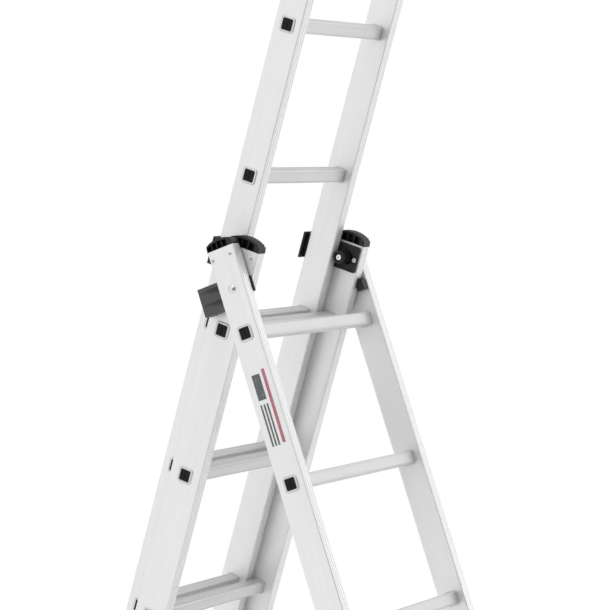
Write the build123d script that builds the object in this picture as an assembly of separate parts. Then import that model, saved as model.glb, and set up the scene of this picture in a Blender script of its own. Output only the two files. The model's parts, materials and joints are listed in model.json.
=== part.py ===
from build123d import *
import math
import os

os.makedirs("parts", exist_ok=True)

# ---------------------------------------------------------------------------
# Combination ladder in three sections, standing as an A-frame.
# Millimetres, +Z up, front towards -Y, origin on the floor at the middle of the base.
# Front section: wide leg.  Rear section: middle leg.  Upper section: slides in the rear leg.
# Each section is drawn upright about its own frame: X across, -Y its front, Z up the stiles.
# Heights in a section frame are measured from the level of the round hinge-bracket bolt.
# ---------------------------------------------------------------------------
BASE_SHIFT = 3.32            # moves the model along Y so that the base is centred on the origin
BOLT_HEIGHT = 1520.0         # bracket bolt above the floor
LEAN = 18.25                 # lean of both legs from the vertical, degrees
REAR_OFFSET = 14.6           # rear leg centreline behind the bracket bolt
UPPER_OFFSET = 57.1          # upper section centreline behind the bracket bolt

STILE_WIDTH = 23.0
STILE_WALL = 1.6
STILE_ROUND = 2.2
FRONT_HALF = 229.5           # half the outer width of each section
REAR_HALF = 202.5
UPPER_HALF = 172.5
FRONT_DEPTH = 56.0
REAR_DEPTH = 67.0
UPPER_DEPTH = 56.0

RUNG_PITCH = 280.0
RUNG_COUNT = 6
RUNG_SIZE = 25.0
RUNG_ROUND = 4.0
RUNG_WALL = 1.6
FLARE = 1.6                  # how far the swaged rung end stands out of the stile
FRONT_TOP_RUNG = -83.0
REAR_TOP_RUNG = -85.0
UPPER_LOW_RUNG = -927.0
FRONT_TOP = 76.0
REAR_TOP = 70.5
FRONT_BOTTOM = -1582.0
REAR_BOTTOM = -1585.0
UPPER_TOP = 558.0
UPPER_BOTTOM = -1002.0

CAP_RISE = 11.4              # height of a cap over the stile end at its front and back edges
CAP_TEETH = 14
CAP_TOOTH = 2.2              # depth of a tooth
CAP_NOSE = 6.0               # radius of the rounded front edge
CAP_CELLS = 4
FOOT_SKIN = 2.6
HINGE_Y = 62.0               # hinge pin behind and below the bolt, in the front section frame
HINGE_Z = -24.0
PIN_RADIUS = 4.0
PIN_CLEARANCE = 0.05
BRACKET_INNER = 203.5        # inner plane of the bracket plates on the front section
BRACKET_SPLIT = -7.8         # joint between the block plate and the claw
COVE_DEPTH = 7.0
COVE = ((-3.0, 4.6), (6.0, 3.0), (7.0, 0.0), (4.6, -4.0), (-3.0, -13.0))    # (depth, rise)
BAR_HALF = 400.0
BAR_TOP = -1496.0
BAR_BOTTOM = -1566.0
BAR_THICK = 26.0
FRONT_RIVETS = ((-17.2, 60.5), (21.8, 59.2))
REAR_RIVETS = ((-7.7, 57.5), (36.0, 57.5))
RIVET_SHANK = 1.6
BOLT_RADIUS = 4.0
CLAW_PLANE = -(REAR_DEPTH / 2 - REAR_OFFSET + 0.4)    # claw faces, 0.4 in front of the rear leg

GUIDE_TOP = 67.0
GUIDE_BOTTOM = 16.0
GUIDE_FACE = 174.6           # inner plane of the guides, clear of the upper section's rung ends
BOSS_Y = 16.0
BOSS_Z = 39.6
RIVET_Y = -7.9
RIVET_Z = 40.4
HOOK_RUNG_Z = REAR_TOP_RUNG - 3 * RUNG_PITCH
HOOK_TOP = HOOK_RUNG_Z + 44.0

SIDES = (("left", -1), ("right", 1))


def front_place():
    return Pos(0, BASE_SHIFT, BOLT_HEIGHT) * Rot(-LEAN, 0, 0)


def rear_place():
    return Pos(0, BASE_SHIFT, BOLT_HEIGHT) * Rot(LEAN, 0, 0)


def save(shape, name):
    export_step(shape, "parts/" + name + ".step")


def save_group(solids, name):
    save(Compound(children=list(solids)), name)


def block(x0, x1, y0, y1, z0, z1):
    size = (abs(x1 - x0), abs(y1 - y0), abs(z1 - z0))
    return Pos((x0 + x1) / 2, (y0 + y1) / 2, (z0 + z1) / 2) * Box(*size)


def rod(x0, x1, y, z, radius):
    """Cylinder lying along X."""
    return Pos((x0 + x1) / 2, y, z) * Rot(0, 90, 0) * Cylinder(radius, abs(x1 - x0))


def side_plate(points, x0, x1):
    """Plate cut to a side profile of (y, z) points and thick along X."""
    face = Plane.YZ * make_face(Polyline(*points, close=True))
    return Pos(min(x0, x1), 0, 0) * extrude(face, amount=abs(x1 - x0), dir=(1, 0, 0))


def long_groove(points, y0, y1):
    """Solid with an outline of (x, z) points that runs along Y."""
    face = Plane.XZ * make_face(Polyline(*points, close=True))
    return Pos(0, y0, 0) * extrude(face, amount=y1 - y0, dir=(0, 1, 0))


# ---------------------------------------------------------------------------
# Extrusions
# ---------------------------------------------------------------------------
def rung_heights(first, step):
    return [first + step * i for i in range(RUNG_COUNT)]


def rung_tube(size, corner, x0, x1, y, z):
    face = Plane.YZ * RectangleRounded(size, size, corner)
    return Pos(x0, y, z) * extrude(face, amount=x1 - x0, dir=(1, 0, 0))


def stile(half, depth, y_mid, top, bottom, side, heights):
    """Hollow extrusion with bead grooves, pierced for the rungs."""
    profile = RectangleRounded(STILE_WIDTH, depth, STILE_ROUND)
    profile -= RectangleRounded(STILE_WIDTH - 2 * STILE_WALL, depth - 2 * STILE_WALL, 1.2)
    front = -depth / 2
    for x in (-6.4, 0.6, 6.6):
        profile -= Pos(side * x, front) * Rectangle(1.2, 1.6)
    x_mid = side * (half - STILE_WIDTH / 2)
    body = Pos(x_mid, y_mid, bottom) * extrude(profile, amount=top - bottom)
    for z in heights:
        body -= rung_tube(RUNG_SIZE, RUNG_ROUND, x_mid - 20, x_mid + 20, y_mid, z)
    return body


def outer_edges(shape, side):
    """Edges of the face that looks away from the middle of the ladder."""
    faces = shape.faces().sort_by(Axis.X)
    return (faces[-1] if side > 0 else faces[0]).edges()


def rung(half, y_mid, z):
    """Square tube swaged against both faces of each stile."""
    inner = half - STILE_WIDTH
    solid = rung_tube(RUNG_SIZE, RUNG_ROUND, -half, half, y_mid, z)
    for side in (-1, 1):
        x0, x1 = sorted((side * half, side * (half + FLARE)))
        rim = rung_tube(30.2, 6.6, x0, x1, y_mid, z)
        solid += chamfer(outer_edges(rim, side), 1.2)
        x0, x1 = sorted((side * (inner - 2.0), side * inner))
        solid += rung_tube(28.8, 5.6, x0, x1, y_mid, z)
    bore = RUNG_SIZE - 2 * RUNG_WALL
    solid -= rung_tube(bore, 2.6, -half - 2, half + 2, y_mid, z)
    for y in (-5.5, 5.5):
        groove = block(-inner + 12, inner - 12, y_mid + y - 0.8, y_mid + y + 0.8,
                       z + RUNG_SIZE / 2 - 0.5, z + RUNG_SIZE / 2 + 1)
        solid -= groove
    for y in (y_mid - RUNG_SIZE / 2, y_mid + RUNG_SIZE / 2):
        for line in (z - 8.6, z + 8.6):
            solid -= block(-inner + 12, inner - 12, y - 0.5, y + 0.5, line - 0.5, line + 0.5)
    return solid


def rung_plug(half, y_mid, z, side):
    """Push-in end plug with a cross-shaped recess in its face."""
    bore = RUNG_SIZE - 2 * RUNG_WALL
    x0, x1 = sorted((side * (half - 12), side * (half + 0.5)))
    plug = rung_tube(bore, 2.6, x0, x1, y_mid, z)
    face = side * (half + 0.5)
    plug -= block(face - 1.2, face + 1.2, y_mid - 1.2, y_mid + 1.2, z - 7.5, z + 7.5)
    plug -= block(face - 1.2, face + 1.2, y_mid - 7.5, y_mid + 7.5, z - 1.2, z + 1.2)
    return plug


def drill(body, half, side, holes):
    """Round holes from the outer face of a stile, as (radius, y, z, depth)."""
    for radius, y, z, deep in holes:
        body -= rod(side * (half - deep), side * (half + 1), y, z, radius)
    return body


def build_section(name, place, half, depth, y_mid, top, bottom, heights, holes):
    for label, side in SIDES:
        body = drill(stile(half, depth, y_mid, top, bottom, side, heights), half, side, holes)
        save(place * body, name + "_stile_" + label)
    plugs = []
    for i, z in enumerate(sorted(heights)):
        save(place * rung(half, y_mid, z), name + "_rung_" + str(i + 1))
        plugs += [place * rung_plug(half, y_mid, z, side) for label, side in SIDES]
    save_group(plugs, name + "_rung_plugs")


# ---------------------------------------------------------------------------
# Serrated end caps on top of the legs
# ---------------------------------------------------------------------------
def cap_height(y, half_depth, rise):
    radius = (half_depth ** 2 + rise ** 2) / (2 * rise)
    return math.sqrt(radius ** 2 - y ** 2) - (radius - rise)


def cap(half, depth, y_mid, base, crown, side):
    """Arched cap, toothed on top, with a rounded nose and open cells in both side faces."""
    half_depth = depth / 2
    points = [(half_depth, base), (-half_depth, base)]
    for i in range(CAP_TEETH):
        for share, tooth in ((0.02, CAP_TOOTH), (0.22, 0.0), (0.60, 0.0), (0.80, CAP_TOOTH)):
            y = -half_depth + depth * (i + share) / CAP_TEETH
            rounding = max(0.0, CAP_NOSE - (y + half_depth), 0.6 * (CAP_NOSE - (half_depth - y)))
            drop = CAP_NOSE - math.sqrt(CAP_NOSE ** 2 - rounding ** 2)
            points.append((y, base + CAP_RISE + cap_height(y, half_depth, crown) - tooth - drop))
    x0, x1 = sorted((side * half, side * (half - STILE_WIDTH)))
    solid = side_plate(points, x0, x1)
    cell = (depth - 12.0) / CAP_CELLS
    for i in range(CAP_CELLS):
        y0 = half_depth - 2.2 - cell * i
        y1 = y0 - cell + 1.5
        roof = [base + CAP_RISE - 4.2 + cap_height(y, half_depth, crown) for y in (y0, y1)]
        pocket = [(y0, base + 1.2), (y0, roof[0]), (y1, roof[1]), (y1, base + 1.2)]
        solid -= side_plate(pocket, x0 - 1, x0 + 10.2)
        solid -= side_plate(pocket, x1 - 10.2, x1 + 1)
    return Pos(0, y_mid, 0) * solid


def stile_spigot(half, depth, y_mid, z0, z1, side):
    """Tongue that fills the end of a hollow stile."""
    x0, x1 = sorted((side * (half - STILE_WALL), side * (half - STILE_WIDTH + STILE_WALL)))
    inset = depth / 2 - STILE_WALL
    spigot = block(x0, x1, y_mid - inset, y_mid + inset, z0, z1)
    return fillet(spigot.edges().filter_by(Axis.Z), 1.2)


def full_cap(half, depth, y_mid, base, crown, side):
    spigot = stile_spigot(half, depth, y_mid, base - 30, base, side)
    return cap(half, depth, y_mid, base, crown, side) + spigot


def pop_rivet(half, y, z, side, radius=2.9):
    """Domed rivet head on the outer face of a stile, with its mandrel hole."""
    face = side * half
    head = rod(face, face + side * 1.7, y, z, radius)
    head = fillet(outer_edges(head, side), 1.2)
    head += rod(face - side * STILE_WALL, face, y, z, RIVET_SHANK)
    return head - rod(face - side * 0.8, face + side * 2, y, z, 1.1)


# ---------------------------------------------------------------------------
# Hinge between the front and the rear section
# ---------------------------------------------------------------------------
def block_cove(side, z):
    """Groove in the face of the hinge block that runs out towards its back edge."""
    face = side * (FRONT_HALF - 1.0)
    end = 70.0
    outline = [(face + side * (COVE_DEPTH - deep), z + rise) for deep, rise in COVE]
    angle = -side * math.degrees(math.atan(COVE_DEPTH / (end - FRONT_DEPTH / 2)))
    cut = Pos(-face, -end, 0) * long_groove(outline, 18.0, end + 1.0)
    return Pos(face, end, 0) * Rot(0, 0, angle) * cut


def hinge_block(side):
    """Grooved knuckle behind the front stile with a plate along its inner face."""
    x0, x1 = sorted((side * BRACKET_INNER, side * (FRONT_HALF - 1.0)))
    body = block(x0, x1, FRONT_DEPTH / 2, 73.5, -31, 21)
    body = chamfer(body.edges().filter_by(Axis.Z).sort_by(Axis.Y)[-2:], 2.4)
    body = chamfer(outer_edges(body, side), 0.8)
    body -= block_cove(side, 10.5) + block_cove(side, -13.6)
    body -= rod(side * (BRACKET_INNER - 1), side * (FRONT_HALF - 7), HINGE_Y, HINGE_Z, PIN_RADIUS)
    p0, p1 = sorted((side * BRACKET_INNER, side * (FRONT_HALF - STILE_WIDTH)))
    plate = block(p0, p1, BRACKET_SPLIT, FRONT_DEPTH / 2, -28, 18)
    return body + plate - rod(p0 - 1, p1 + 1, 0, 0, BOLT_RADIUS)


def rear_to_front(y, z):
    """Point of the rear section frame seen in the front section frame, legs open."""
    turn = math.radians(2 * LEAN)
    return (y * math.cos(turn) - z * math.sin(turn), y * math.sin(turn) + z * math.cos(turn))


def flange_line(z):
    """Y of the claw plane at a height in the front section frame."""
    turn = math.radians(2 * LEAN)
    return (CLAW_PLANE - z * math.sin(turn)) / math.cos(turn)


def left_claw():
    """Stop on the left: a plate between the stiles with a wedge in front of the rear leg."""
    outer = -(FRONT_HALF - STILE_WIDTH)
    plate = [(BRACKET_SPLIT, -12.9), (-27.7, -12.9), (-31.0, -11.6), (-31.2, 11.5),
             (-28.0, 15.2), (BRACKET_SPLIT, 18.0)]
    wedge = [(-26.0, 2.2), (-26.0, -12.9), (flange_line(-12.9), -12.9), (flange_line(2.2), 2.2)]
    return side_plate(plate, -BRACKET_INNER, outer) + side_plate(wedge, -195.0, outer)


def right_claw():
    """Stop on the right: a deeper lug that sits lower along the rear leg."""
    outer = FRONT_HALF - STILE_WIDTH
    top = rear_to_front(CLAW_PLANE, 7.3)
    heel = rear_to_front(CLAW_PLANE, -12.2)
    step = rear_to_front(CLAW_PLANE - 4.0, -12.2)
    lug = [top, (-26.5, -10.5), (-26.5, -28.5), (step[0], -28.5), step, heel]
    plate = [(BRACKET_SPLIT, -28.5), (-26.5, -28.5), (-26.5, -10.5), (BRACKET_SPLIT, 1.5)]
    return side_plate(lug, 190.0, outer) + side_plate(plate, BRACKET_INNER, outer)


def hinge_claw(side):
    """Black stop in front of the rear leg, on the inner face of the front stile."""
    return left_claw() if side < 0 else right_claw()


def bracket_bolt(side):
    """Round-headed bolt through the front stile, clamping the bracket plate."""
    face = side * FRONT_HALF
    dome = (Pos(face - side * 4.4, 0, 0) * Sphere(9.0)) & rod(face, face + side * 4.6, 0, 0, 7.6)
    collar = rod(face, face + side * 0.8, 0, 0, 8.2)
    return dome + collar + rod(side * (BRACKET_INNER + 0.2), face, 0, 0, BOLT_RADIUS)


def hinge_pin(side):
    shank = rod(side * 199.2, side * (FRONT_HALF - 7.0), HINGE_Y, HINGE_Z, PIN_RADIUS)
    return shank + rod(side * 196.6, side * 199.2, HINGE_Y, HINGE_Z, 6.4)


def hinge_in_rear():
    """Hinge axis as (y, z) in the rear section frame."""
    turn = math.radians(-2 * LEAN)
    y = HINGE_Y * math.cos(turn) - HINGE_Z * math.sin(turn)
    z = HINGE_Y * math.sin(turn) + HINGE_Z * math.cos(turn)
    return y, z


def hinge_bush(side):
    """Flanged bush in the outer wall of the rear stile."""
    y, z = hinge_in_rear()
    bush = rod(side * 199.8, side * REAR_HALF, y, z, 6.0)
    bush += rod(side * REAR_HALF, side * (REAR_HALF + 0.6), y, z, 8.0)
    return bush - rod(side * 199, side * 204, y, z, PIN_RADIUS + PIN_CLEARANCE)


# ---------------------------------------------------------------------------
# Guides that carry the upper section
# ---------------------------------------------------------------------------
def guide(side):
    """Moulded plate on the rear stile with a front boss and a wall behind the upper stile."""
    wall = side * (REAR_HALF - STILE_WIDTH)
    face = side * GUIDE_FACE
    plate = block(face, wall, -15.0, 94.5, GUIDE_BOTTOM, GUIDE_TOP)
    body = fillet(plate.edges().filter_by(Axis.X).group_by(Axis.Y)[0], 4.0)
    body += block(side * 141.0, wall, 91.5, 94.5, GUIDE_BOTTOM, GUIDE_TOP)
    body += block(side * 153.0, side * 171.0, 85.7, 91.5, GUIDE_BOTTOM + 2, GUIDE_TOP - 2)
    for z0, z1 in ((GUIDE_BOTTOM + 2.5, 28.0), (52.5, GUIDE_TOP - 2.5)):
        body -= block(face - side, face + side * 0.9, -12.0, 14.0, z0, z1)
    recess = [(8.0, 54.0), (-6.0, 48.6), (-12.4, 45.6), (-13.2, 40.4),
              (-12.4, 35.2), (-6.0, 32.2), (8.0, 27.0)]
    body -= side_plate(recess, face - side, face + side * 3.8)
    collar = rod(side * 169.0, side * 178.0, BOSS_Y - 0.5, BOSS_Z, 15.0)
    collar -= rod(side * 168.0, side * 170.4, BOSS_Y - 0.5, BOSS_Z, 13.4)
    boss = rod(side * 157.0, side * 178.0, BOSS_Y, BOSS_Z, 12.4)
    boss = fillet(outer_edges(boss, -side), 1.4)
    body += collar + boss
    body -= rod(side * 155.5, side * 159.4, BOSS_Y, BOSS_Z, 8.8)
    body -= block(side * 166, face, BOSS_Y + 12.5, 60, GUIDE_BOTTOM - 1, GUIDE_TOP + 1)
    for z in (60.5, 20.5):
        body -= block(face - side, face + side * 1.6, -7.5, -1.5, z - 1.2, z + 1.2)
    body -= rod(side * 150, side * 176, BOSS_Y, BOSS_Z, 3.0)
    return body - rod(side * 170, side * 181, RIVET_Y, RIVET_Z, 2.4)


def guide_screw(side):
    head = rod(side * 156.6, side * 159.4, BOSS_Y, BOSS_Z, 5.6)
    head = fillet(outer_edges(head, -side), 1.0)
    head -= rod(side * 155, side * 158.8, BOSS_Y, BOSS_Z, 2.4)
    return head + rod(side * 159.4, side * 176, BOSS_Y, BOSS_Z, 3.0)


def guide_rivet(side):
    head = rod(side * 175.6, side * 178.4, RIVET_Y, RIVET_Z, 4.6)
    head = fillet(outer_edges(head, -side), 0.8)
    head -= rod(side * 174, side * 177.8, RIVET_Y, RIVET_Z, 1.7)
    return head + rod(side * 178.4, side * (REAR_HALF - STILE_WIDTH), RIVET_Y, RIVET_Z, 2.4)


# ---------------------------------------------------------------------------
# Hooks of the upper section
# ---------------------------------------------------------------------------
def hook(side):
    """Saddle that hangs over a rung of the rear section."""
    rest = HOOK_RUNG_Z + RUNG_SIZE / 2 + 0.3
    rear = UPPER_OFFSET - UPPER_DEPTH / 2
    nose = REAR_OFFSET - RUNG_SIZE / 2 - 0.8
    profile = [(rear, HOOK_TOP), (rear, rest), (nose, rest), (nose - 1.5, rest - 22),
               (nose - 7, rest - 25), (nose - 9.5, rest - 18), (nose - 9.5, rest + 6),
               (nose - 2, rest + 16), (rear - 12, HOOK_TOP)]
    x_in, x_out = side * (UPPER_HALF - STILE_WIDTH - 3.0), side * (UPPER_HALF - 2.0)
    body = side_plate(profile, x_in, x_out)
    cheek = [(rear, HOOK_TOP), (rear, rest), (rear + 44, rest + 3), (rear + 44, HOOK_TOP)]
    return body + side_plate(cheek, x_in, side * (UPPER_HALF - STILE_WIDTH))


def hook_rivets(side):
    face = side * (UPPER_HALF - STILE_WIDTH - 3.0)
    z = (HOOK_TOP + HOOK_RUNG_Z + RUNG_SIZE / 2) / 2 + 1
    return [rod(face - side * 1.6, face, UPPER_OFFSET + y, z, 4.2) for y in (-14.0, 6.0)]


def upper_end(side, top):
    """Plug in an open stile end of the upper section."""
    x0, x1 = sorted((side * UPPER_HALF, side * (UPPER_HALF - STILE_WIDTH)))
    half = UPPER_DEPTH / 2
    edge = UPPER_TOP if top else UPPER_BOTTOM
    up = 1 if top else -1
    flange = block(x0, x1, -half, half, *sorted((edge, edge + up * 5.0)))
    flange = Pos(0, UPPER_OFFSET, 0) * fillet(flange.edges().filter_by(Axis.Z), STILE_ROUND)
    z0, z1 = sorted((edge - up * 24, edge))
    return flange + stile_spigot(UPPER_HALF, UPPER_DEPTH, UPPER_OFFSET, z0, z1, side)


# ---------------------------------------------------------------------------
# Feet and stabiliser
# ---------------------------------------------------------------------------
def above_floor(shape):
    return shape & block(-700, 700, -1500, 1500, 0, 3000)


def rear_foot(side):
    """Boot on the end of a rear stile with a level, ribbed sole."""
    x0, x1 = sorted((side * REAR_HALF, side * (REAR_HALF - STILE_WIDTH)))
    half = REAR_DEPTH / 2
    boot = block(x0 - FOOT_SKIN, x1 + FOOT_SKIN, REAR_OFFSET - half - FOOT_SKIN,
                 REAR_OFFSET + half + FOOT_SKIN, -1660, REAR_BOTTOM + 42)
    boot = fillet(boot.edges().filter_by(Axis.Z), 4.0)
    pocket = block(x0, x1, REAR_OFFSET - half, REAR_OFFSET + half, REAR_BOTTOM, REAR_BOTTOM + 60)
    boot -= fillet(pocket.edges().filter_by(Axis.Z), STILE_ROUND)
    boot = above_floor(rear_place() * boot)
    middle = (rear_place() * Pos(0, REAR_OFFSET, REAR_BOTTOM)).position.Y
    for i in range(-3, 4):
        y = middle + i * 9.0
        boot -= block(x0 - 9, x1 + 9, y - 1.2, y + 1.2, -1, 2.0)
    return boot


def front_end(side):
    """Plug closing the bottom end of a front stile."""
    x0, x1 = sorted((side * FRONT_HALF, side * (FRONT_HALF - STILE_WIDTH)))
    half = FRONT_DEPTH / 2
    flange = block(x0, x1, -half, half, FRONT_BOTTOM - 3, FRONT_BOTTOM)
    flange = fillet(flange.edges().filter_by(Axis.Z), STILE_ROUND)
    return flange + stile_spigot(FRONT_HALF, FRONT_DEPTH, 0.0, FRONT_BOTTOM, FRONT_BOTTOM + 14, side)


def stabiliser_bar():
    front = -FRONT_DEPTH / 2
    height = BAR_TOP - BAR_BOTTOM
    face = Plane.YZ * (RectangleRounded(BAR_THICK, height, 3.0)
                       - RectangleRounded(BAR_THICK - 4.0, height - 4.0, 1.5))
    bar = extrude(face, amount=2 * BAR_HALF, dir=(1, 0, 0))
    bar = Pos(-BAR_HALF, front - BAR_THICK / 2, (BAR_TOP + BAR_BOTTOM) / 2) * bar
    for z in (BAR_TOP - 20, BAR_BOTTOM + 20):
        for side in (-1, 1):
            x = side * (FRONT_HALF - STILE_WIDTH / 2)
            bar -= Pos(x, front - BAR_THICK / 2, z) * Rot(90, 0, 0) * Cylinder(4.0, BAR_THICK + 2)
    return bar


def stabiliser_bolts():
    front = -FRONT_DEPTH / 2
    bolts = []
    for z in (BAR_TOP - 20, BAR_BOTTOM + 20):
        for side in (-1, 1):
            x = side * (FRONT_HALF - STILE_WIDTH / 2)
            shank = Pos(x, front - BAR_THICK / 2, z) * Rot(90, 0, 0) * Cylinder(4.0, BAR_THICK)
            head = Pos(x, front - BAR_THICK - 2.5, z) * Rot(90, 0, 0) * Cylinder(7.5, 5.0)
            socket = Pos(x, front - BAR_THICK - 4.5, z) * Rot(90, 0, 0) * Cylinder(3.0, 3.0)
            bolts.append(front_place() * (shank + head - socket))
    return bolts


def stabiliser_foot(side):
    """Moulding over an end of the bar, carried down to a level sole."""
    front = -FRONT_DEPTH / 2
    x0, x1 = sorted((side * (BAR_HALF - 42), side * (BAR_HALF + 4)))
    shell = block(x0, x1, front - BAR_THICK - 3, front + 3, -1660, BAR_TOP + 3)
    shell = fillet(shell.edges().filter_by(Axis.Z), 4.0)
    slot0, slot1 = sorted((side * (BAR_HALF - 60), side * BAR_HALF))
    slot = block(slot0, slot1, front - BAR_THICK, front, BAR_BOTTOM, BAR_TOP)
    shell -= fillet(slot.edges().filter_by(Axis.X), 3.0)
    shell = above_floor(front_place() * shell)
    middle = (front_place() * Pos(0, front - BAR_THICK / 2, BAR_BOTTOM)).position.Y - 12
    for i in range(-1, 2):
        y = middle + i * 9.0
        shell -= block(x0 - 9, x1 + 9, y - 1.2, y + 1.2, -1, 2.0)
    return shell


# ---------------------------------------------------------------------------
# Rating label on the left front stile, kept generic
# ---------------------------------------------------------------------------
def label_stripe():
    face = -FRONT_HALF
    return block(face - 0.3, face, -15.4, -9.0, -289, -153)


def label_bars():
    face = -FRONT_HALF
    bars = [block(face - 0.3, face, -3.0, 14.0, -206, -159)]
    bars += [block(face - 0.3, face, y, y + 3.4, -291, -214) for y in (-3.0, 3.8, 10.6)]
    return bars


# ---------------------------------------------------------------------------
# Assembly
# ---------------------------------------------------------------------------
def build_front():
    place = front_place()
    heights = rung_heights(FRONT_TOP_RUNG, -RUNG_PITCH)
    holes = [(BOLT_RADIUS, 0.0, 0.0, STILE_WIDTH + 1)]
    holes += [(RIVET_SHANK, y, z, 3.0) for y, z in FRONT_RIVETS]
    build_section("front", place, FRONT_HALF, FRONT_DEPTH, 0.0, FRONT_TOP, FRONT_BOTTOM, heights, holes)
    for label, side in SIDES:
        save(place * full_cap(FRONT_HALF, FRONT_DEPTH, 0.0, FRONT_TOP, 7.0, side), "front_cap_" + label)
        save(place * hinge_block(side), "hinge_block_" + label)
        save(place * hinge_claw(side), "hinge_claw_" + label)
        save(stabiliser_foot(side), "front_foot_" + label)
    save_group([place * pop_rivet(FRONT_HALF, y, z, side)
                for label, side in SIDES for y, z in FRONT_RIVETS], "front_cap_rivets")
    save_group([place * bracket_bolt(side) for label, side in SIDES], "hinge_bracket_bolts")
    save_group([place * hinge_pin(side) for label, side in SIDES], "hinge_pins")
    save_group([place * front_end(side) for label, side in SIDES], "front_stile_end_plugs")
    save(place * stabiliser_bar(), "front_stabiliser_bar")
    save_group(stabiliser_bolts(), "front_stabiliser_bolts")
    save(place * label_stripe(), "front_label_stripe")
    save_group([place * bar for bar in label_bars()], "front_label_bars")


def build_rear():
    place = rear_place()
    heights = rung_heights(REAR_TOP_RUNG, -RUNG_PITCH)
    y, z = hinge_in_rear()
    holes = [(6.0, y, z, 3.0)] + [(RIVET_SHANK, y, z, 3.0) for y, z in REAR_RIVETS]
    build_section("rear", place, REAR_HALF, REAR_DEPTH, REAR_OFFSET, REAR_TOP, REAR_BOTTOM, heights, holes)
    for label, side in SIDES:
        crown = full_cap(REAR_HALF, REAR_DEPTH, REAR_OFFSET, REAR_TOP, 9.5, side)
        save(place * crown, "rear_cap_" + label)
        save(place * guide(side), "rear_guide_" + label)
        save(rear_foot(side), "rear_foot_" + label)
    save_group([place * pop_rivet(REAR_HALF, y, z, side)
                for label, side in SIDES for y, z in REAR_RIVETS], "rear_cap_rivets")
    save_group([place * hinge_bush(side) for label, side in SIDES], "hinge_bushes")
    save_group([place * guide_screw(side) for label, side in SIDES], "rear_guide_screws")
    save_group([place * guide_rivet(side) for label, side in SIDES], "rear_guide_rivets")


def build_upper():
    place = rear_place()
    heights = rung_heights(UPPER_LOW_RUNG, RUNG_PITCH)
    build_section("upper", place, UPPER_HALF, UPPER_DEPTH, UPPER_OFFSET, UPPER_TOP, UPPER_BOTTOM, heights, ())
    rivets = []
    for label, side in SIDES:
        save(place * hook(side), "upper_hook_" + label)
        rivets += [place * piece for piece in hook_rivets(side)]
    save_group(rivets, "upper_hook_rivets")
    save_group([place * upper_end(side, top) for label, side in SIDES for top in (True, False)],
               "upper_end_plugs")


build_front()
build_rear()
build_upper()
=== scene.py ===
import json
import math

import bpy
from mathutils import Matrix, Vector


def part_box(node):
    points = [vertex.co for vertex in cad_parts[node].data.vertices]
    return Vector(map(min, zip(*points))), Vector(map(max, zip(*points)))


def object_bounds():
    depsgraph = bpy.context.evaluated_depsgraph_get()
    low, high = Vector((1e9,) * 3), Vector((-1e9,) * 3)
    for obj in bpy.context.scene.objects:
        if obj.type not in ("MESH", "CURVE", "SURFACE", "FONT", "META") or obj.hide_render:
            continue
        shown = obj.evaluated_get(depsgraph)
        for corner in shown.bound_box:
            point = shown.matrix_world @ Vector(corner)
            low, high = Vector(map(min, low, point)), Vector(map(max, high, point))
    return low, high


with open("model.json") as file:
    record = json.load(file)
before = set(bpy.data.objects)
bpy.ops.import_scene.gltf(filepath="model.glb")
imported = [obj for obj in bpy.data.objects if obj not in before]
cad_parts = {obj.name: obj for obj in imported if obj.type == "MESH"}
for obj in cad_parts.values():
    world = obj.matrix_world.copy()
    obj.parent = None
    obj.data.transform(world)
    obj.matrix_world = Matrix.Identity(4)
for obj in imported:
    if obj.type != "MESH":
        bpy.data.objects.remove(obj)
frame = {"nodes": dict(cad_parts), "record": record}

CAD_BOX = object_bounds()
LEAN = math.radians(18.25)    # tilt of each leg from upright

# Camera, measured from the round bolts of the hinge brackets.
VIEW_YAW = math.radians(-59.14)
VIEW_PITCH = math.radians(2.69)
VIEW_ROLL = math.radians(-1.29)
VIEW_DISTANCE = 4.549
VIEW_OFFSET = (-0.0127, 0.0407)
VIEW_LENS = 144.1

# World light: white, and dimmer towards two sides.
WORLD_BRIGHT = 1.14
WORLD_DIM = 0.12
DIM_SIDE = (-0.76, -0.65, 0.0)
DIM_START = 0.45              # cosine of the angle off the dim side where the dimming starts
FAR_SIDE = (0.55, 0.83, 0.1)
FAR_START = 0.25
FAR_DIM = 0.5                 # what is left of the light in the middle of the far side

# Softboxes, each turned to one point: place, size in metres, power in watts.
LIGHT_TARGET = (0.0, 0.0, 1.3)
SOFTBOXES = {"key_left": ((-3.6, -1.2, 3.4), (2.6, 2.6), 14.0),
             "overhead": ((0.3, -0.4, 5.2), (4.0, 4.0), 25.0),
             "fill_right": ((3.6, -1.9, 2.5), (1.6, 3.0), 7.0)}

# Floor.
FLOOR_SIZE = 5.6
FADE_START = 1.5              # metres from the middle where the floor starts to fade
FADE_END = 2.7

# Metal tones.
STILE_TONE = (0.84, 0.842, 0.846)
RUNG_TONE = (0.65, 0.653, 0.657)
RUNG_ROUGH = 0.42


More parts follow.
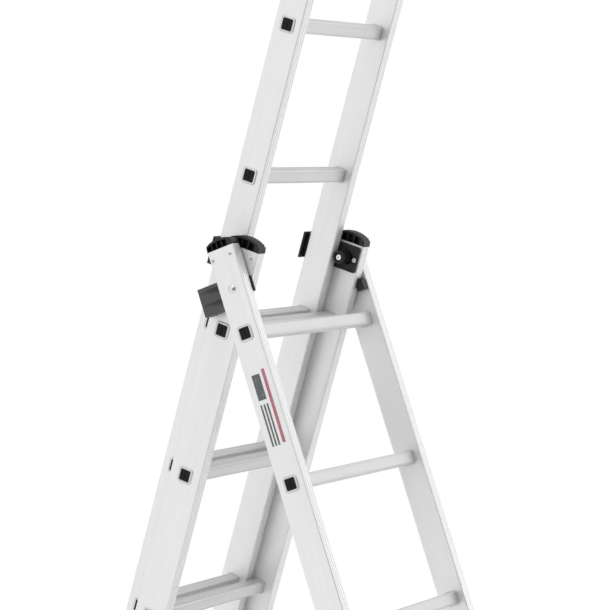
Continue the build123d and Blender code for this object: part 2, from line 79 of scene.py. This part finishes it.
# ---------------------------------------------------------------------------
# Node helpers
# ---------------------------------------------------------------------------
class Graph:
    """Short-hand for building one material's node tree."""

    def __init__(self, name):
        self.material = bpy.data.materials.new(name)
        self.material.use_nodes = True
        self.tree = self.material.node_tree
        self.shader = self.tree.nodes["Principled BSDF"]

    def node(self, kind, **values):
        made = self.tree.nodes.new(kind)
        for key, value in values.items():
            setattr(made, key, value)
        return made

    def link(self, source, target):
        self.tree.links.new(source, target)

    def coords(self, lean=0.0, scale=(1.0, 1.0, 1.0)):
        """Object coordinates turned upright with the section, then scaled."""
        where = self.node("ShaderNodeTexCoord")
        turn = self.node("ShaderNodeVectorRotate", rotation_type="X_AXIS")
        turn.inputs["Angle"].default_value = lean
        size = self.node("ShaderNodeMapping")
        size.inputs["Scale"].default_value = scale
        self.link(where.outputs["Object"], turn.inputs["Vector"])
        self.link(turn.outputs["Vector"], size.inputs["Vector"])
        return size.outputs["Vector"]

    def noise(self, vector, scale, detail=3.0, rough=0.55):
        """Fractal noise from 0 to 1; scale is in cells per metre."""
        made = self.node("ShaderNodeTexNoise")
        made.inputs["Scale"].default_value = scale
        made.inputs["Detail"].default_value = detail
        made.inputs["Roughness"].default_value = rough
        self.link(vector, made.inputs["Vector"])
        return made.outputs["Fac"]

    def spread(self, value, low, high, start=0.3, end=0.7):
        """Maps a 0 to 1 value on to low to high."""
        made = self.node("ShaderNodeMapRange")
        made.inputs["From Min"].default_value = start
        made.inputs["From Max"].default_value = end
        made.inputs["To Min"].default_value = low
        made.inputs["To Max"].default_value = high
        self.link(value, made.inputs["Value"])
        return made.outputs["Result"]

    def ramp(self, value, stops):
        """Colour from a 0 to 1 value, by stops of place and colour."""
        made = self.node("ShaderNodeValToRGB")
        while len(made.color_ramp.elements) < len(stops):
            made.color_ramp.elements.new(0.5)
        for element, (place, colour) in zip(made.color_ramp.elements, stops):
            element.position = place
            element.color = (*colour, 1.0)
        self.link(value, made.inputs["Fac"])
        return made.outputs["Color"]

    def mix(self, factor, first, second, blend="MIX"):
        made = self.node("ShaderNodeMix", data_type="RGBA", blend_type=blend)
        if isinstance(factor, float):
            made.inputs["Factor"].default_value = factor
        else:
            self.link(factor, made.inputs["Factor"])
        for value, socket in ((first, made.inputs[6]), (second, made.inputs[7])):
            if isinstance(value, tuple):
                socket.default_value = (*value, 1.0)
            else:
                self.link(value, socket)
        return made.outputs[2]

    def bump(self, height, strength, distance, normal=None):
        made = self.node("ShaderNodeBump")
        made.inputs["Strength"].default_value = strength
        made.inputs["Distance"].default_value = distance
        self.link(height, made.inputs["Height"])
        if normal is not None:
            self.link(normal, made.inputs["Normal"])
        return made.outputs["Normal"]

    def set(self, **values):
        names = {"metallic": "Metallic", "specular": "Specular IOR Level", "coat": "Coat Weight",
                 "coat_roughness": "Coat Roughness", "anisotropic": "Anisotropic"}
        for key, value in values.items():
            self.shader.inputs[names[key]].default_value = value

    def finish(self, colour, roughness, normal):
        self.link(colour, self.shader.inputs["Base Color"])
        self.link(roughness, self.shader.inputs["Roughness"])
        self.link(normal, self.shader.inputs["Normal"])
        return self.material


# ---------------------------------------------------------------------------
# Materials
# ---------------------------------------------------------------------------
def aluminium(name, lean, tone, along, rough=0.40, metallic=0.60):
    """Satin extrusion: fine draw lines, faint handling marks and a soft cloudy tone."""
    g = Graph(name)
    fine = (900.0, 900.0, 6.0) if along == "Z" else (6.0, 900.0, 900.0)
    medium = (160.0, 160.0, 2.2) if along == "Z" else (2.2, 160.0, 160.0)
    lines = g.noise(g.coords(lean, fine), 1.0, 2.0)
    bands = g.noise(g.coords(lean, medium), 1.0, 4.0, 0.6)
    cloud = g.noise(g.coords(lean, (9.0, 9.0, 3.5)), 1.0, 5.0, 0.6)
    scuff = g.noise(g.coords(lean, (70.0, 70.0, 26.0)), 1.0, 6.0, 0.75)
    low = tuple(c * 0.972 for c in tone)
    high = tuple(min(1.0, c * 1.02) for c in tone)
    colour = g.ramp(bands, ((0.25, low), (0.75, high)))
    colour = g.mix(g.spread(cloud, 0.0, 0.5), colour, tuple(c * 0.97 for c in tone))
    colour = g.mix(g.spread(scuff, 0.0, 0.16, 0.62, 0.78), colour, tuple(c * 0.8 for c in tone))
    grain = g.spread(lines, rough - 0.05, rough + 0.07)
    patches = g.spread(cloud, -0.03, 0.05)
    total = g.node("ShaderNodeMath", operation="ADD")
    g.link(grain, total.inputs[0])
    g.link(patches, total.inputs[1])
    normal = g.bump(lines, 0.10, 0.0002)
    normal = g.bump(bands, 0.03, 0.0006, normal)
    g.set(metallic=metallic, specular=0.5, anisotropic=0.3)
    return g.finish(colour, total.outputs["Value"], normal)


def moulded(name, tone, rough=0.46, speckle=0.35, specular=0.45):
    """Moulded plastic: fine spark-eroded grain, faint sheen patches and rubbed high spots."""
    g = Graph(name)
    grain = g.noise(g.coords(), 1500.0, 2.0, 0.7)
    sheen = g.noise(g.coords(), 55.0, 4.0, 0.6)
    wear = g.noise(g.coords(), 190.0, 6.0, 0.7)
    colour = g.ramp(sheen, ((0.3, tuple(c * 0.86 for c in tone)), (0.7, tuple(c * 1.15 for c in tone))))
    pale = tuple(c * 1.6 + 0.008 for c in tone)
    colour = g.mix(g.spread(wear, 0.0, speckle, 0.58, 0.75), colour, pale)
    roughness = g.spread(sheen, rough - 0.06, rough + 0.08)
    normal = g.bump(grain, 0.22, 0.0002)
    normal = g.bump(wear, 0.08, 0.0005, normal)
    g.set(metallic=0.0, specular=specular)
    return g.finish(colour, roughness, normal)


def rubber(name, tone):
    """Rough rubber with pale dust in patches."""
    g = Graph(name)
    grain = g.noise(g.coords(), 900.0, 3.0, 0.7)
    dust = g.noise(g.coords(), 38.0, 6.0, 0.7)
    colour = g.ramp(dust, ((0.35, tone), (0.8, tuple(c * 1.9 + 0.012 for c in tone))))
    roughness = g.spread(dust, 0.62, 0.8)
    normal = g.bump(grain, 0.35, 0.0004)
    g.set(metallic=0.0, specular=0.35)
    return g.finish(colour, roughness, normal)


def plated_steel(name, tone, rough):
    """Zinc-plated steel: mottled crystals and turned lines."""
    g = Graph(name)
    crystal = g.noise(g.coords(), 420.0, 4.0, 0.65)
    lines = g.noise(g.coords(0.0, (2400.0, 180.0, 180.0)), 1.0, 2.0)
    colour = g.ramp(crystal, ((0.3, tuple(c * 0.82 for c in tone)), (0.7, tone)))
    roughness = g.spread(crystal, rough - 0.06, rough + 0.09)
    normal = g.bump(lines, 0.12, 0.0002)
    normal = g.bump(crystal, 0.06, 0.0003, normal)
    g.set(metallic=1.0, specular=0.5)
    return g.finish(colour, roughness, normal)


def label_film(name, tone, weave):
    """Printed film with a halftone of small darker squares and rubbed edges."""
    g = Graph(name)
    upright = g.coords(LEAN)
    checks = g.node("ShaderNodeTexChecker")
    checks.inputs["Scale"].default_value = weave
    g.link(upright, checks.inputs["Vector"])
    rub = g.noise(g.coords(LEAN), 260.0, 5.0, 0.7)
    colour = g.mix(checks.outputs["Fac"], tone, tuple(min(1.0, c * 1.35 + 0.03) for c in tone))
    colour = g.mix(g.spread(rub, 0.0, 0.35, 0.5, 0.75), colour, (0.72, 0.70, 0.70))
    roughness = g.spread(rub, 0.38, 0.55)
    normal = g.bump(rub, 0.08, 0.0002)
    g.set(metallic=0.0, specular=0.45)
    return g.finish(colour, roughness, normal)


def dress_nodes():
    """Gives every CAD node the material of its slot, with the grain along its own section."""
    front = {"stile_aluminium": aluminium("front_stile_metal", LEAN, STILE_TONE, "Z"),
             "rung_aluminium": aluminium("front_rung_metal", LEAN, RUNG_TONE, "X", RUNG_ROUGH)}
    rear = {"stile_aluminium": aluminium("rear_stile_metal", -LEAN, STILE_TONE, "Z"),
            "rung_aluminium": aluminium("rear_rung_metal", -LEAN, RUNG_TONE, "X", RUNG_ROUGH)}
    shared = {"rivet_aluminium": plated_steel("rivet_metal", (0.66, 0.66, 0.67), 0.30),
              "bolt_steel": plated_steel("bolt_metal", (0.78, 0.78, 0.79), 0.22),
              "hook_steel": plated_steel("hook_metal", (0.60, 0.61, 0.62), 0.36),
              "black_plastic": moulded("black_moulding", (0.010, 0.010, 0.0105), 0.46, 0.35, 0.38),
              "plug_plastic": moulded("plug_moulding", (0.006, 0.006, 0.0065), 0.42, 0.15, 0.2),
              "grey_plastic": moulded("grey_moulding", (0.075, 0.075, 0.077), 0.5, 0.2, 0.4),
              "foot_rubber": rubber("foot_rubber", (0.022, 0.022, 0.023)),
              "label_red": label_film("label_red_film", (0.40, 0.115, 0.155), 700.0),
              "label_dark": label_film("label_dark_film", (0.075, 0.085, 0.087), 900.0)}
    bodies = frame["record"]["behaviour"]["bodies"]
    for part in frame["record"]["subparts"]:
        own = front if part["node"] in bodies["front_section"] else rear
        material = own.get(part["material_slot"]) or shared[part["material_slot"]]
        for socket in frame["nodes"][part["node"]].material_slots:
            socket.material = material


# ---------------------------------------------------------------------------
# Studio
# ---------------------------------------------------------------------------
def add_floor():
    """Pale floor that fades into the backdrop away from the ladder."""
    bpy.ops.mesh.primitive_plane_add(size=FLOOR_SIZE, location=(0.0, 0.0, CAD_BOX[0][2]))
    floor = bpy.context.object
    floor.name = "studio_floor"
    g = Graph("studio_floor_paint")
    cloud = g.noise(g.coords(), 0.8, 3.0)
    colour = g.ramp(cloud, ((0.3, (0.93, 0.93, 0.93)), (0.7, (0.95, 0.95, 0.95))))
    normal = g.bump(g.noise(g.coords(), 60.0), 0.02, 0.001)
    reach = g.node("ShaderNodeVectorMath", operation="LENGTH")
    g.link(g.coords(), reach.inputs[0])
    g.link(g.spread(reach.outputs["Value"], 1.0, 0.0, FADE_START, FADE_END), g.shader.inputs["Alpha"])
    g.set(metallic=0.0, specular=0.1)
    floor.data.materials.append(g.finish(colour, g.spread(cloud, 0.75, 0.85), normal))


def add_softboxes():
    for name, (place, size, power) in SOFTBOXES.items():
        data = bpy.data.lights.new(name, "AREA")
        data.shape = "RECTANGLE"
        data.size, data.size_y = size
        data.energy = power
        light = bpy.data.objects.new(name, data)
        bpy.context.scene.collection.objects.link(light)
        light.location = place
        aim = Vector(LIGHT_TARGET) - Vector(place)
        light.rotation_euler = aim.to_track_quat("-Z", "Y").to_euler()


def world_lobe(tree, toward, start, far, near):
    """Light strength that goes from far to near as the view turns towards one side."""
    where = tree.nodes.new("ShaderNodeTexCoord")
    along = tree.nodes.new("ShaderNodeVectorMath")
    along.operation = "DOT_PRODUCT"
    along.inputs[1].default_value = Vector(toward).normalized()
    shade = tree.nodes.new("ShaderNodeMapRange")
    shade.interpolation_type = "SMOOTHSTEP"
    shade.inputs["From Min"].default_value = start
    shade.inputs["From Max"].default_value = 1.0
    shade.inputs["To Min"].default_value = far
    shade.inputs["To Max"].default_value = near
    tree.links.new(where.outputs["Generated"], along.inputs[0])
    tree.links.new(along.outputs["Value"], shade.inputs["Value"])
    return shade.outputs["Result"]


def add_world():
    """White backdrop for the camera; for the object, soft white light with two dimmer sides."""
    world = bpy.data.worlds.new("studio_world")
    world.use_nodes = True
    tree = world.node_tree
    backdrop = tree.nodes["Background"]
    backdrop.inputs["Color"].default_value = (1.0, 1.0, 1.0, 1.0)
    backdrop.inputs["Strength"].default_value = 1.0
    both = tree.nodes.new("ShaderNodeMath")
    both.operation = "MULTIPLY"
    tree.links.new(world_lobe(tree, DIM_SIDE, DIM_START, WORLD_BRIGHT, WORLD_DIM), both.inputs[0])
    tree.links.new(world_lobe(tree, FAR_SIDE, FAR_START, 1.0, FAR_DIM), both.inputs[1])
    soft = tree.nodes.new("ShaderNodeBackground")
    soft.inputs["Color"].default_value = (1.0, 1.0, 1.0, 1.0)
    seen = tree.nodes.new("ShaderNodeLightPath")
    either = tree.nodes.new("ShaderNodeMixShader")
    tree.links.new(both.outputs["Value"], soft.inputs["Strength"])
    tree.links.new(seen.outputs["Is Camera Ray"], either.inputs["Fac"])
    tree.links.new(soft.outputs["Background"], either.inputs[1])
    tree.links.new(backdrop.outputs["Background"], either.inputs[2])
    tree.links.new(either.outputs["Shader"], tree.nodes["World Output"].inputs["Surface"])
    bpy.context.scene.world = world


def add_camera():
    """Camera at a fixed distance and angle from the bracket bolts."""
    low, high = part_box("hinge_bracket_bolts")
    target = (Vector(low) + Vector(high)) / 2
    back = Vector((math.sin(VIEW_YAW) * math.cos(VIEW_PITCH),
                   -math.cos(VIEW_YAW) * math.cos(VIEW_PITCH), math.sin(VIEW_PITCH)))
    side = Vector((math.cos(VIEW_YAW), math.sin(VIEW_YAW), 0.0))
    rise = back.cross(side)
    right = side * math.cos(VIEW_ROLL) + rise * math.sin(VIEW_ROLL)
    up = rise * math.cos(VIEW_ROLL) - side * math.sin(VIEW_ROLL)
    place = target + back * VIEW_DISTANCE - right * VIEW_OFFSET[0] - up * VIEW_OFFSET[1]
    data = bpy.data.cameras.new("camera")
    data.sensor_width = 36.0
    data.lens = VIEW_LENS
    camera = bpy.data.objects.new("camera", data)
    bpy.context.scene.collection.objects.link(camera)
    turn = Matrix((right, up, back)).transposed()
    camera.matrix_world = Matrix.Translation(place) @ turn.to_4x4()
    bpy.context.scene.camera = camera


bpy.context.scene.view_settings.view_transform = "Standard"
dress_nodes()
add_floor()
add_world()
add_softboxes()
add_camera()
